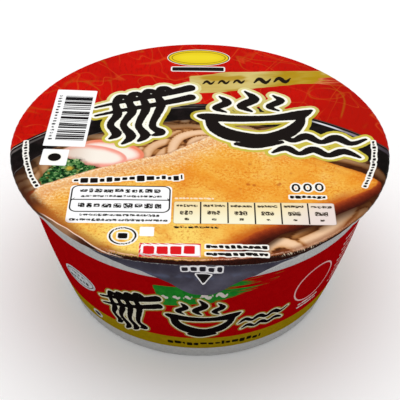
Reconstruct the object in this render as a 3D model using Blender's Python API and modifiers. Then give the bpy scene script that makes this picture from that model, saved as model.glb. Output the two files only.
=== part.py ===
"""Sealed instant udon noodle bowl, a pack of two pieces.

A tapered foam bowl with a rolled rim is shut by a peel-off lid. The lid is a thin sheet pressed
down round the rim, with a pull tab folded down at the front. Shut, the pack is solid inside.
Metres, +Z up, the front with its tab towards -Y, and the origin at the middle of the base.
"""

import math

import bmesh
import bpy

# Overall sizes
LID_RADIUS = 0.0700
PACK_HEIGHT = 0.0624
BASE_RADIUS = 0.0510

# Lid sheet: a flat top, a fold round its edge, and a short skirt down to SKIRT_DROP under the top
SHEET = 0.0003
LID_GAP = 0.0003
FOLD_RADIUS = 0.0015
FOLD_LENGTH = FOLD_RADIUS * math.pi / 2
FLAT_RADIUS = LID_RADIUS - FOLD_RADIUS
SKIRT_DROP = 0.0019

# Pull tab, folded down over the front of the rim
TAB_AZIMUTH = math.radians(1.4)
TAB_LENGTH = 0.0140
TAB_HALF_WIDTH = 0.0132
TAB_TAPER = 2.15
TAB_SHOULDER = (0.030, 0.044)
TAB_STRAIGHT = 0.0017
TAB_LEAN = math.atan(0.20)

# Bowl wall, whose radius runs from the base to where it would meet the lid, with a slight bulge
WALL_REACH = 0.0620
WALL_TOP_RADIUS = 0.0661
WALL_BULGE = 0.00174

# Rolled rim of the bowl, just inside the lid
RIM_RADIUS = LID_RADIUS - SHEET - LID_GAP
RIM_TOP = PACK_HEIGHT - SHEET - LID_GAP
RIM_ROUNDING = FOLD_RADIUS - SHEET - LID_GAP
RIM_THICKNESS = 0.0026
RIM_FILLET = 0.0010

# Foot of the bowl: a flat ring round a shallow recess
FOOT_ROUNDING = 0.0012
FOOT_INNER_RADIUS = 0.0463
RECESS_HEIGHT = 0.0028
RECESS_SLOPE = 0.0012
PANEL_RADIUS = 0.0300
PANEL_STEP = 0.0006

# Fineness of the facets
TURN_STEPS = 80
WALL_POINTS = 9
TAB_SECTOR = math.radians(36)
TAB_COLUMNS = 44
REST_COLUMNS = 58
FLAT_ROWS = (0.0, 0.45, 0.8)
HANGING_ROWS = 9
HANGING_SPREAD = 1.6
GRID_HALF = 0.5
MERGE_DISTANCE = 0.000002


def clear_scene():
    for obj in list(bpy.data.objects):
        bpy.data.objects.remove(obj, do_unlink=True)


def object_collection(name):
    collection = bpy.data.collections.new(name)
    bpy.context.scene.collection.children.link(collection)
    return collection


def principled(name, colour, roughness):
    material = bpy.data.materials.new(name)
    material.use_nodes = True
    shader = material.node_tree.nodes["Principled BSDF"]
    shader.inputs["Base Color"].default_value = (*colour, 1.0)
    shader.inputs["Roughness"].default_value = roughness
    shader.inputs["Metallic"].default_value = 0.0
    return material


def arc(centre, radius, start, end, steps):
    """Points from one angle to another, in degrees, where 0 points outwards and 90 points up."""
    points = []
    for step in range(steps + 1):
        angle = math.radians(start + (end - start) * step / steps)
        points.append((centre[0] + radius * math.cos(angle), centre[1] + radius * math.sin(angle)))
    return points


def wall_radius(height):
    share = height / WALL_REACH
    straight = BASE_RADIUS + (WALL_TOP_RADIUS - BASE_RADIUS) * share
    return straight + WALL_BULGE * 4 * share * (1 - share)


def rim_profile():
    """The flat top and the rolled edge of the rim, down to where the wall begins."""
    middle = RIM_RADIUS - RIM_ROUNDING
    bottom = RIM_TOP - RIM_THICKNESS
    wall_top = bottom - RIM_FILLET
    return (
        [(0.0, RIM_TOP)]
        + arc((middle, RIM_TOP - RIM_ROUNDING), RIM_ROUNDING, 90, 0, 4)
        + arc((middle, bottom + RIM_ROUNDING), RIM_ROUNDING, 0, -90, 4)
        + arc((wall_radius(wall_top) + RIM_FILLET, wall_top), RIM_FILLET, 90, 180, 3)
    )


def wall_profile(top):
    """The printed wall, from just under the rim down to the rounding of the foot."""
    bottom = FOOT_ROUNDING
    heights = [top + (bottom - top) * step / WALL_POINTS for step in range(1, WALL_POINTS)]
    return [(wall_radius(height), height) for height in heights]


def foot_profile():
    """The rounded foot, its flat ring, and the recess with its raised middle panel."""
    foot_middle = (wall_radius(FOOT_ROUNDING) - FOOT_ROUNDING, FOOT_ROUNDING)
    return arc(foot_middle, FOOT_ROUNDING, 0, -90, 3) + [
        (FOOT_INNER_RADIUS, 0.0),
        (FOOT_INNER_RADIUS - RECESS_SLOPE, RECESS_HEIGHT),
        (PANEL_RADIUS, RECESS_HEIGHT),
        (PANEL_RADIUS - PANEL_STEP, RECESS_HEIGHT + PANEL_STEP),
        (0.0, RECESS_HEIGHT + PANEL_STEP),
    ]


def turned(name, profile):
    """The object that a profile of (radius, height) points makes when it turns about the Z axis."""
    mesh = bpy.data.meshes.new(name)
    points = [(radius, 0.0, height) for radius, height in profile]
    edges = [(index, index + 1) for index in range(len(points) - 1)]
    mesh.from_pydata(points, edges, [])
    obj = bpy.data.objects.new(name, mesh)
    screw = obj.modifiers.new("Turn", "SCREW")
    screw.axis = "Z"
    screw.angle = math.tau
    screw.steps = TURN_STEPS
    screw.render_steps = TURN_STEPS
    screw.use_smooth_shade = True
    screw.use_merge_vertices = True
    screw.merge_threshold = MERGE_DISTANCE
    return obj


def make_bowl(material):
    rim = rim_profile()
    obj = turned("bowl", rim + wall_profile(rim[-1][1]) + foot_profile())
    obj.data.materials.append(material)
    return obj


def blend(value, start, end):
    """1 up to start and 0 from end on, with a smooth slope between."""
    share = min(max((value - start) / (end - start), 0.0), 1.0)
    return 1 - share * share * (3 - 2 * share)


def blank_reach(azimuth):
    """How far the flat, die-cut sheet reaches from its middle: a disc with one bell-shaped tab."""
    disc = FLAT_RADIUS + FOLD_LENGTH + SKIRT_DROP - FOLD_RADIUS
    turn = (azimuth - TAB_AZIMUTH + math.pi) % math.tau - math.pi
    aside = abs(LID_RADIUS * turn)
    bell = TAB_LENGTH / (1 + (aside / TAB_HALF_WIDTH) ** TAB_TAPER)
    return disc + bell * blend(aside, *TAB_SHOULDER)


def formed(distance):
    """(radius, height) of a point of the sheet once it is pressed over the rim.

    distance runs along the sheet: over the flat top, round the fold, straight down past the
    rim's edge, and then leaning in towards the wall.
    """
    if distance <= FLAT_RADIUS:
        return distance, PACK_HEIGHT
    past_flat = distance - FLAT_RADIUS
    if past_flat <= FOLD_LENGTH:
        angle = past_flat / FOLD_RADIUS
        radius = FLAT_RADIUS + FOLD_RADIUS * math.sin(angle)
        return radius, PACK_HEIGHT - FOLD_RADIUS * (1 - math.cos(angle))
    past_fold = past_flat - FOLD_LENGTH
    straight = min(past_fold, TAB_STRAIGHT)
    leaning = past_fold - straight
    radius = LID_RADIUS - leaning * math.sin(TAB_LEAN)
    return radius, PACK_HEIGHT - FOLD_RADIUS - straight - leaning * math.cos(TAB_LEAN)


def lid_azimuths():
    """Azimuths once round the lid from the front, closer together across the tab."""
    start = TAB_AZIMUTH - TAB_SECTOR
    across = [start + 2 * TAB_SECTOR * step / TAB_COLUMNS for step in range(TAB_COLUMNS)]
    rest = math.tau - 2 * TAB_SECTOR
    behind = [start + 2 * TAB_SECTOR + rest * step / REST_COLUMNS for step in range(REST_COLUMNS + 1)]
    return across + behind


def sheet_distances(azimuth):
    """Distances from the middle of the sheet to its edge, closer together round the fold."""
    hanging = blank_reach(azimuth) - FLAT_RADIUS
    down = [(row / HANGING_ROWS) ** HANGING_SPREAD for row in range(HANGING_ROWS + 1)]
    over = [FLAT_RADIUS * share for share in FLAT_ROWS]
    return over + [FLAT_RADIUS + hanging * share for share in down]


def make_lid(material):
    azimuths = lid_azimuths()
    columns = len(azimuths) - 1
    rows = len(FLAT_ROWS) + HANGING_ROWS
    shape = bmesh.new()
    bmesh.ops.create_grid(shape, x_segments=columns, y_segments=rows, size=GRID_HALF)
    for vert in shape.verts:
        column = round((vert.co.x + GRID_HALF) * columns)
        row = round((GRID_HALF - vert.co.y) * rows)
        azimuth = azimuths[column]
        distance = sheet_distances(azimuth)[row]
        radius, height = formed(distance)
        vert.co = (radius * math.sin(azimuth), -radius * math.cos(azimuth), height)
    bmesh.ops.remove_doubles(shape, verts=shape.verts, dist=MERGE_DISTANCE)
    bmesh.ops.recalc_face_normals(shape, faces=shape.faces)
    mesh = bpy.data.meshes.new("lid")
    shape.to_mesh(mesh)
    shape.free()
    mesh.shade_smooth()
    mesh.materials.append(material)
    obj = bpy.data.objects.new("lid", mesh)
    thicken = obj.modifiers.new("Sheet", "SOLIDIFY")
    thicken.thickness = SHEET
    thicken.offset = -1
    return obj


def main():
    clear_scene()
    pack = object_collection("sealed_noodle_bowl")
    wall_print = principled("bowl_print", (0.42, 0.012, 0.014), 0.35)
    lid_print = principled("lid_print", (0.68, 0.24, 0.06), 0.30)
    pack.objects.link(make_bowl(wall_print))
    pack.objects.link(make_lid(lid_print))


main()
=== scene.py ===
"""Looks of a sealed instant udon noodle bowl: a printed lid with a pull tab, and a printed foam bowl.

The scene is in metres and the print in millimetres. The front, with its tab, is towards -Y, and an
azimuth is measured from it towards +X. On the lid, print x runs to the right and print y away from the
front, from the lid's middle and on round its fold. On the wall, print x runs along it at PRINT_RADIUS,
and print y is the height. A shape of the print is a field of signed distances, below zero inside it,
which the material's nodes colour.
"""

import math

import bpy
import numpy as np
from mathutils import Matrix, Vector


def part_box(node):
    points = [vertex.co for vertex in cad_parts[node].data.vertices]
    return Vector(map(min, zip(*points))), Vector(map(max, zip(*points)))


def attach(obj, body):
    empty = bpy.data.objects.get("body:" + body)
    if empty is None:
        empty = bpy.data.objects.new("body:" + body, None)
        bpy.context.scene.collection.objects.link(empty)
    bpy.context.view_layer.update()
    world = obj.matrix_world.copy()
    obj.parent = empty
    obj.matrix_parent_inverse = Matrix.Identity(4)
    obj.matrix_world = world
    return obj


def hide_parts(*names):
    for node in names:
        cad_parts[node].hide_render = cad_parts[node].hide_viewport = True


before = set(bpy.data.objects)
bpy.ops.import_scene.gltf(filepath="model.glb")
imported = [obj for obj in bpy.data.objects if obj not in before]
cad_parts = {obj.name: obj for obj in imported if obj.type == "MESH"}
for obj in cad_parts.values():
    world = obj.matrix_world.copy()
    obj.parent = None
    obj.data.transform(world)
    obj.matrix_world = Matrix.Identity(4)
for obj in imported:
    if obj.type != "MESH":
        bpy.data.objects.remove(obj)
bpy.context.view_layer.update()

MM = 0.001
FAR = 1e3

# Sizes of the pack, from the frame and as its solids have them
LID_LOW, LID_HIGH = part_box("lid")
LID_RADIUS = -LID_LOW.y
PACK_HEIGHT = LID_HIGH.z
BASE_RADIUS = 0.0510
SHEET = 0.0003
LID_GAP = 0.0003
FOLD_RADIUS = 0.0015
FOLD_LENGTH = FOLD_RADIUS * math.pi / 2
FLAT_RADIUS = LID_RADIUS - FOLD_RADIUS
SKIRT_DROP = 0.0019
TAB_AZIMUTH = math.radians(1.4)
TAB_LENGTH = 0.0140
TAB_HALF_WIDTH = 0.0132
TAB_TAPER = 2.15
TAB_SHOULDER = (0.030, 0.044)
TAB_STRAIGHT = 0.0017
TAB_LEAN = math.atan(0.20)
WALL_REACH = 0.0620
WALL_TOP_RADIUS = 0.0661
WALL_BULGE = 0.00174
RIM_RADIUS = LID_RADIUS - SHEET - LID_GAP
RIM_TOP = PACK_HEIGHT - SHEET - LID_GAP
RIM_ROUNDING = FOLD_RADIUS - SHEET - LID_GAP
RIM_THICKNESS = 0.0026
RIM_FILLET = 0.0010
FOOT_ROUNDING = 0.0012
FOOT_INNER_RADIUS = 0.0463
RECESS_HEIGHT = 0.0028
RECESS_SLOPE = 0.0012
PANEL_RADIUS = 0.0300
PANEL_STEP = 0.0006

# Finer forms under the base: its rounded edges, and the fine rings sunk into its panel
FOOT_EDGE = 0.0005
RECESS_EDGE = 0.0006
PANEL_EDGE = 0.0004
RING_RADII = (0.0220, 0.0120)
RING_HALF_WIDTH = 0.0006
RING_DEPTH = 0.0003

# Relief of the lid's sheet in millimetres, at its fold, on its flat, on its tab and round its skirt,
# and how many waves add up to each of the first three
CRINKLES = 0.12
SLACK = 0.05
TAB_WAVES = 0.22
TAB_LIFT = 0.1
WAVES_EACH = 14
PLEATS = 104
PLEAT_DEPTH = 0.045

# Fineness of the meshes. Rings on the flat of the lid are at shares of FLAT_RADIUS
SHARP_ANGLE = math.radians(50)
LID_COLUMNS = 600
LID_FLAT_ROWS = 118
LID_FIRST_RING = 0.004
LID_HANGING_ROWS = 24
LID_HANGING_SPREAD = 1.25
LID_UNDER_ROWS = 9
LID_UNDER_SPREAD = 1.8
LID_UNDER_RINGS = (0.92, 0.4, 0.05)
BOWL_COLUMNS = 560
BOWL_FIRST_RING = 0.001
BOWL_TOP_RING = 0.060
WALL_ROWS = 104

# Layout of the maps: the lid's print at a scale, discs as (u, v, radius), and the bowl's two strips
LID_MAP_SPAN = 0.158
LID_MAP_MIDDLE = (0.5, 0.544)
LID_UNDER_DISC = (0.085, 0.085, 0.08)
BOWL_TOP_DISC = (0.17, 0.83, 0.16)
BOWL_UNDER_DISC = (0.52, 0.83, 0.16)
STRIP_PITCH = 0.33
STRIP_HEIGHT = 0.32

# Print of the lid: the bar code, with half the length of its bars and of their row, the uprights of the
# table, and the radius of the small print at the edge
BAR_CODE = (-49.3, 13.2)
BAR_CODE_TURN = -2.3
BAR_HALF_LENGTH = 5.3
BAR_ROW_HALF_LENGTH = 15.0
TABLE_EDGES = (-8.7, 0.5, 9.8, 19.0, 28.0, 37.2, 46.3)
EDGE_PRINT_RADIUS = 64.3

# Share of their light that the inks, papers and foam give back
INK_SHARE = 0.9

# Print of the wall: the radius that its x is measured at, and the heights of its bands
PRINT_RADIUS = 62.0
BAND_TOP = 50.0
GOLD_TOP = 14.2
GOLD_FOOT = 6.6

# Stage
CAMERA_PLACE = (0.00024, -0.3232, 0.2907)
CAMERA_DIP = 38.534
CAMERA_ROLL = 0.677
CAMERA_LENS = 95.66
FLOOR_REACH = 6.0
SKY_STRENGTH = 0.74
KEY_PLACE = (0.0, 0.25, 1.30)
KEY_AIM = (0.0, 0.0, 0.06)
KEY_SIZE = 1.8
KEY_POWER = 9.6


# ---- shapes of the print


def smooth_path(points, steps):
    """Points on a smooth curve through the given ones, whose half widths are eased as their places are."""
    knots = np.array([points[0], *points, points[-1]], float)
    found = []
    for before, start, end, after in zip(knots, knots[1:], knots[2:], knots[3:]):
        for share in np.arange(steps) / steps:
            slope = (end - before) * share
            bend = (2 * before - 5 * start + 4 * end - after) * share**2
            twist = (3 * start - before - 3 * end + after) * share**3
            found.append((2 * start + slope + bend + twist) / 2)
    return np.array([*found, knots[-1]])


def to_segment(x, y, start, end):
    """Offsets of points from the nearest place on a segment, and how far along it that is, 0 to 1."""
    dx, dy = end[0] - start[0], end[1] - start[1]
    share = ((x - start[0]) * dx + (y - start[1]) * dy) / max(dx * dx + dy * dy, 1e-9)
    share = np.clip(share, 0, 1)
    return x - start[0] - share * dx, y - start[1] - share * dy, share


class Ground:
    """Points of a printed surface in print coordinates, on which shapes are drawn as signed distances."""

    def __init__(self, x, y, scale=1):
        self.x = x
        self.y = y
        self.scale = scale

    def placed(self, x, y, scale=1, turn=0):
        """The same points as seen by a drawing with its origin at (x, y), enlarged and turned."""
        cos, sin = math.cos(math.radians(turn)), math.sin(math.radians(turn))
        right, up = self.x - x, self.y - y
        return Ground((right * cos + up * sin) / scale, (up * cos - right * sin) / scale, self.scale * scale)

    def nowhere(self):
        return np.full(len(self.x), FAR)

    def box(self, left, right, low, high, corner=0):
        aside = abs(self.x - (left + right) / 2) - (right - left) / 2 + corner
        above = abs(self.y - (low + high) / 2) - (high - low) / 2 + corner
        outside = np.hypot(np.maximum(aside, 0), np.maximum(above, 0))
        return (outside + np.minimum(np.maximum(aside, above), 0) - corner) * self.scale

    def ellipse(self, x, y, across, deep, turn=0):
        local = self.placed(x, y, turn=turn)
        share = np.hypot(local.x / across, local.y / deep)
        slope = np.hypot(local.x / across**2, local.y / deep**2) / np.maximum(share, 1e-6)
        return (share - 1) / np.maximum(slope, 1e-3) * self.scale

    def polygon(self, corners, rounding=0):
        """Distance to a polygon whose corners are rounded outwards."""
        nearest, inside = self.nowhere(), np.zeros(len(self.x), bool)
        for start, end in zip(corners, corners[1:] + corners[:1]):
            aside, above, _ = to_segment(self.x, self.y, start, end)
            nearest = np.minimum(nearest, np.hypot(aside, above))
            if start[1] != end[1]:
                slant = (end[0] - start[0]) / (end[1] - start[1])
                crosses = (start[1] > self.y) != (end[1] > self.y)
                inside ^= crosses & (self.x < start[0] + slant * (self.y - start[1]))
        return (np.where(inside, -nearest, nearest) - rounding) * self.scale

    def strokes(self, *lines, steps=6):
        """Distance to brush strokes, each through its (x, y, half width) points."""
        nearest = self.nowhere()
        for line in lines:
            path = smooth_path(line, steps)
            for start, end in zip(path, path[1:]):
                aside, above, share = to_segment(self.x, self.y, start, end)
                half = start[2] + (end[2] - start[2]) * share
                nearest = np.minimum(nearest, np.hypot(aside, above) - half)
        return nearest * self.scale

    def dashes(self, seed, left, right, middle, height, lengths=(0.7, 1.9), gap=0.32, uneven=0.14):
        """A row of dashes in place of words. Their lengths, gap and unevenness are in dash heights."""
        rng = np.random.default_rng(seed)
        field, at = self.nowhere(), left
        while at < right - height * lengths[0] / 2:
            end = min(at + height * rng.uniform(*lengths), right)
            low = middle - height * (0.5 + rng.uniform(-uneven, uneven))
            high = middle + height * (0.5 + rng.uniform(-uneven, uneven))
            field = np.minimum(field, self.box(at, end, low, high))
            at = end + height * gap
        return field

    def rows(self, seed, *rows):
        """Rows of dashes, whose seeds count up from the given one."""
        return union(*[self.dashes(seed + index, *row) for index, row in enumerate(rows)])


def union(*fields):
    return np.minimum.reduce(fields)


def nearest_line(*fields):
    """Of several signed distances, the one whose zero line is the nearest at each point."""
    stack = np.stack(fields)
    chosen = abs(stack).argmin(0)
    return stack[chosen, np.arange(stack.shape[1])]


# ---- brush drawings


def lifted_noodles(ground):
    """Four noodles hung over a pair of chopsticks, about 40 wide and 46 high."""
    lines = [
        [(-21, 4, 0.8), (-8, 9.6, 1.5), (6, 14.6, 2), (20, 20.6, 2.7)],
        [(-20.5, -2.4, 0.8), (-7, 2.8, 1.4), (7, 7.6, 1.9), (20.5, 13, 2.5)],
    ]
    for index, (x, foot) in enumerate(((-10.5, -19.5), (-4.6, -23), (1.6, -21), (7.8, -16.5))):
        crest, sway = 14.6 + 0.4 * x, 1.5 + 0.3 * (index % 2)
        lines.append([
            (x + 4.2, crest - 2, 0.9), (x + 2.6, crest + 2, 1.6), (x - 0.6, crest + 2.2, 2),
            (x - 2, crest - 3.5, 1.7), (x - 2 + sway, crest - 11.5, 2.1), (x - 1.6 - sway, -9, 1.6),
            (x - 1.4 + sway, (foot - 9) / 2 - 1.5, 2.2), (x - 1 - sway, foot, 0.8),
        ])
    return ground.strokes(*lines)


def steaming_bowl(ground):
    """A bowl with a foot under three curls of steam, about 48 wide and 40 high."""
    return ground.strokes(
        [(-23, 2.2, 1.4), (-19, 1.2, 2.8), (-8, -0.6, 2.5), (7, -1, 2.2), (19, 0.8, 3.2), (25, 4, 0.9)],
        [(-18.5, -1, 2.4), (-16.5, -7.5, 3.3), (-9.5, -13.2, 3.9), (2, -15.4, 3), (12, -12.6, 3.5),
         (18, -6.5, 2.6), (20.5, -0.5, 1.5)],
        [(-9, -19, 1.3), (-1, -20.2, 2.4), (9.5, -18.6, 1.2)],
        [(-11.5, 4.5, 0.6), (-15.5, 8, 1.8), (-10.5, 12, 2.1), (-13.5, 17, 0.5)],
        [(-0.5, 4.5, 0.7), (-4.5, 9, 2.2), (1.5, 14, 2.4), (-2, 20.5, 0.5)],
        [(11, 4.5, 0.6), (7.5, 8, 1.7), (12.8, 12, 2), (10, 16.5, 0.5)],
    )


def long_waves(ground):
    """Two long waves, 40 wide and 15 high."""
    return ground.strokes(
        [(-20, 1.2, 0.8), (-15, 5.6, 2), (-9.5, 2.4, 1.5), (-4, 6, 2.3), (2, 2.6, 1.5), (8, 6.2, 2.3),
         (14, 2.8, 1.6), (20, 6.4, 0.8)],
        [(-17, -6.6, 0.7), (-12, -3, 1.9), (-6.5, -6.2, 1.4), (-1, -2.8, 2.2), (5, -6.2, 1.6),
         (11, -3, 2.1), (17.5, -6.4, 0.7)],
    )


def brush_drawings(ground, noodles, bowl, waves):
    """The three large drawings, each at its (x, y, scale) or (x, y, scale, turn)."""
    return union(
        lifted_noodles(ground.placed(*noodles)),
        steaming_bowl(ground.placed(*bowl)),
        long_waves(ground.placed(*waves)),
    )


def wave_marks(ground):
    """A row of small waves, 38 wide."""
    lines = []
    for x, high in ((-17, 1), (-10.5, 1), (-4, 1), (6, 1.5), (14.5, 1.5)):
        lines.append([
            (x - 2.4 * high, -1 * high, 0.35), (x - 0.6 * high, 1.1 * high, 0.75 * high),
            (x + 0.8 * high, -1.2 * high, 0.7 * high), (x + 2.6 * high, 0.9 * high, 0.3),
        ])
    return ground.strokes(*lines, steps=4)


# ---- noodles of the lid's picture


# Noodles that lie in front, which show whole: how bright each is, and its (x, y, half width) points
FRONT_NOODLES = (
    (0.6, [(-17, 8.8, 1.6), (-10, 7.4, 1.8), (-4, 8.2, 1.7), (3, 6.4, 1.8), (10, 5.6, 1.6)]),
    (0.72, [(-26, -7.5, 1.6), (-23, -2.6, 1.9), (-18, 0.6, 1.9), (-12, 1.4, 1.7), (-8, 4, 1.6)]),
    (0.84, [(-19.6, -14, 1.6), (-19, -8.6, 1.9), (-16.4, -4.4, 2), (-12, -2, 2), (-7.5, -2.6, 1.7)]),
    (0.78, [(-15.5, -13, 1.5), (-13.4, -8.6, 1.7), (-10.4, -6.2, 1.8), (-6, -6, 1.6)]),
    (0.93, [(-10.4, -8.5, 1.6), (-9.6, -3.8, 2), (-7.6, 0.6, 2.1), (-3.8, 3, 2.1), (1.2, 3.8, 2),
            (7, 3.2, 1.7)]),
    (0.86, [(-3.8, -6.5, 1.4), (-3.2, -2.6, 1.6), (-1.2, -0.2, 1.7), (2.2, 0.6, 1.5), (5, 0.2, 1.3)]),
    (0.5, [(41, -7.5, 1.2), (47, -9, 1.5), (53, -11.5, 1.4), (60, -13, 1.3)]),
    (0.62, [(42, -11.2, 1.4), (49, -11.8, 1.7), (55, -13.8, 1.5), (61.5, -17, 1.8), (65, -23, 1.7)]),
    (0.46, [(45, -45.4, 0.9), (49.5, -43.2, 1.2), (54, -41.2, 1.3), (59, -37.4, 1.2)]),
    (0.64, [(46, -55, 1.2), (48.8, -50.6, 1.5), (50.6, -47, 1.6), (53.8, -43.4, 1.5), (57.6, -40.4, 1.3)]),
    (0.6, [(31, -58, 1.5), (33.6, -55, 2.1), (36.2, -52, 2.4), (38, -48.6, 1.9)]),
    (0.9, [(31.5, -62, 2), (34.8, -58.9, 2.9), (38.8, -56.4, 3.2), (42.6, -53.2, 3.2), (45.6, -49.4, 2.9),
            (48.2, -45.6, 2.4), (51, -42.6, 2), (53, -38.5, 1.6)]),
    (0.95, [(21.6, -64.5, 1.6), (22.8, -61, 2.1), (25.2, -58.9, 2.4), (28.4, -58.7, 2.5), (31.6, -60.4, 2.4),
            (34.4, -63, 2.2)]),
)

# Heaps of further strands, which wander: left, right, low, high, heading in degrees, and how many
NOODLE_HEAPS = (
    (-76, -26, -38, -4, 60, 46),
    (-30, 24, -10, 18, -6, 40),
    (20, 66, -22, 8, -26, 30),
    (0, 60, -72, -34, 34, 30),
)

# From one point of a strand to the next, how far out a strand is looked at, its shadow's reach in half
# widths, and how bright the gaps are
STRAND_STEP = 5
STRAND_MARGIN = 6
STRAND_SHADOW = 1.72
GAP_LIGHT = 0.22


def noodle_strand(rng, left, right, low, high, heading):
    """A curling strand, as (x, y, half width) points, which starts between the sides and wanders."""
    x, y = rng.uniform(left, right), rng.uniform(low, high)
    turn, half = math.radians(heading + rng.normal(0, 14)), rng.uniform(1.6, 2.1)
    curl = rng.normal(0, 0.16)
    points = []
    for _ in range(rng.integers(8, 13)):
        points.append((x, y, half))
        x, y = x + STRAND_STEP * math.cos(turn), y + STRAND_STEP * math.sin(turn)
        curl = 0.75 * curl + rng.normal(0, 0.15)
        turn += curl
    return points


def strand_over(ground, light, strand, tone):
    """Lays one more strand over the noodles' brightness, rounded, and with a soft shadow round it."""
    path = smooth_path(strand, 3)
    (left, low), (right, high) = path[:, :2].min(0) - STRAND_MARGIN, path[:, :2].max(0) + STRAND_MARGIN
    here = (ground.x > left) & (ground.x < right) & (ground.y > low) & (ground.y < high)
    nearest, side = np.full(here.sum(), FAR), np.zeros(here.sum())
    for start, end in zip(path, path[1:]):
        aside, above, share = to_segment(ground.x[here], ground.y[here], start, end)
        half = start[2] + (end[2] - start[2]) * share
        gap = np.hypot(aside, above) / half
        side = np.where(gap < nearest, above / half, side)
        nearest = np.minimum(nearest, gap)
    crown = np.sqrt(1 - np.clip(nearest, 0, 1)**2 * 0.94)
    lit = tone * (0.5 + 0.5 * crown) + 0.13 * np.clip(side, -1, 1)
    shaded = light[here] * np.clip(0.42 + (nearest - 1) * 0.8, 0, 1)
    light[here] = np.where(nearest < 1, lit, np.where(nearest < STRAND_SHADOW, shaded, light[here]))


def noodle_relief(ground):
    """How bright the noodles look at each point, from 0 in the gaps to 1, each strand over the last."""
    rng = np.random.default_rng(11)
    light = np.full(len(ground.x), GAP_LIGHT)
    for *region, count in NOODLE_HEAPS:
        for _ in range(count):
            strand = noodle_strand(rng, *region)
            strand_over(ground, light, strand, rng.uniform(0.55, 0.95))
    corner = blend(abs(ground.x - 50), 22, 32) * blend(-ground.y, -4, -8)
    light *= 1 - 0.55 * corner
    for tone, strand in FRONT_NOODLES:
        strand_over(ground, light, strand, tone)
    return np.clip(light, 0, 1)


# ---- fields of the lid


def slab_top(ground):
    return ground.polygon([
        (-54.5, -31), (-36.5, -21.2), (-20.5, -14.6), (-10, -11.2), (-3, -5.5), (6, 1), (15, 2.2),
        (45.5, -15.6), (57, -21.6), (61, -25), (59.5, -27), (46, -35.4), (27, -46.8), (18.5, -51),
        (12, -56.2), (6.5, -62), (2.5, -70), (-24, -74), (-50, -50), (-56.5, -36)], 2)


def slab_side(ground):
    """The browned side of the tofu, which shows at the right of its top and below it."""
    return ground.polygon([
        (56, -21), (62.6, -26), (62.6, -29), (55, -37), (46, -42.6), (38.5, -48.2), (32.5, -50.8),
        (26.5, -53.2), (20.8, -59), (18.5, -66), (10, -74), (-30, -78), (-62, -46),
        (-58, -34), (-50, -40), (30, -35)], 1.5)


def lid_panels(ground):
    """White panels: the bar code's, a square with a dot, the label, a blank and the boxed sign."""
    return union(
        ground.placed(*BAR_CODE, turn=BAR_CODE_TURN).box(-7.8, 7.8, -19, 19),
        ground.placed(-52.7, -12.6, turn=BAR_CODE_TURN).box(-4.8, 4.8, -4.9, 4.9, 0.2),
        ground.box(-45, -9.5, -49.6, -29, 1.6),
        ground.box(-19.7, -14.9, -56, -51.2),
        ground.box(-19.5, 0.7, -66.2, -59.5),
    )


def lid_ink(ground):
    """Plain black print on the panels, in the table and beside the bar code."""
    fields = [
        ground.rows(0, (-41.5, -13.5, -31.9, 1.8), (-41, -13, -35, 1), (-41.5, -13, -40.1, 2.2),
                    (-40.5, -13.5, -45.3, 1.1), (-43.8, -10.6, -47.9, 1.1), (-8.5, 6.5, -51.2, 1)),
        ground.placed(*BAR_CODE, turn=BAR_CODE_TURN + 90).dashes(50, -15, 15, 5.9, 1.3, (0.7, 0.8), 0.75),
    ]
    for index, (left, right) in enumerate(zip(TABLE_EDGES, TABLE_EDGES[1:])):
        middle = (left + right) / 2
        fields += [
            ground.dashes(20 + index, left + 0.9, right - 0.9, -39.7, 1.3, (0.5, 1), 0.26),
            ground.dashes(30 + index, middle - 2.4, middle + 2.4, -43.5, 2.1, (0.5, 0.62), 0.2, 0.08),
            ground.dashes(40 + index, middle - 0.8, middle + 0.8, -46.9, 1.1, (1.3, 1.4)),
        ]
    return union(*fields)


def lid_haloed(ground):
    """Black print with a white edge, straight on the picture: rows of dashes, rings and a dot."""
    edge_x = np.arctan2(ground.x, -ground.y) * EDGE_PRINT_RADIUS
    edge = Ground(edge_x, np.hypot(ground.x, ground.y) - EDGE_PRINT_RADIUS)
    fields = [
        ground.placed(-25.2, -25, turn=3.8).dashes(60, -19.2, 19.2, 0, 2.3, (0.5, 1.2), 0.3, 0.26),
        ground.rows(70, (31.4, 44.6, -34.2, 1.7, (0.6, 1.1)), (2.4, 22.6, -61, 1.6, (0.8, 1.2)),
                    (2.4, 22.6, -64.6, 1.6, (0.8, 1.2))),
        abs(ground.ellipse(-25.2, -56, 4.3, 4.1)) - 0.34,
        ground.box(-26.8, -23.6, -57.4, -54.6, 0.4),
        ground.ellipse(-52.7, -12.6, 2.4, 2.4),
    ]
    for step in range(3):
        fields.append(abs(ground.ellipse(33.8 + 4.1 * step, -29 + 0.2 * step, 1.15, 1.9)) - 0.42)
    for seed, start, end in ((80, -87.5, -62), (81, 64, 90)):
        left, right = math.radians(start) * EDGE_PRINT_RADIUS, math.radians(end) * EDGE_PRINT_RADIUS
        fields.append(edge.dashes(seed, left, right, 0, 1.2, (0.6, 1.3), 0.5))
    return union(*fields)


def lid_lines(ground, table):
    """Thin black lines: the outline and divider of the label, and the table's dividers."""
    label = ground.box(-44.3, -10.2, -43.5, -29.2, 2.4)
    divider = np.where(label < 0, ground.y + 36.9, FAR)
    uprights = [np.where(table < 0, ground.x - x, FAR) for x in TABLE_EDGES[1:-1]]
    return nearest_line(label, divider, *uprights)


def lid_red(ground):
    """Red print of the boxed sign: its frame and four bold blocks."""
    frame_line = abs(ground.box(-19.2, 0.4, -65.9, -59.8)) - 0.3
    return union(frame_line, ground.dashes(90, -18.1, -0.7, -62.85, 3.9, (0.92, 0.95), 0.2, 0.05))


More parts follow.
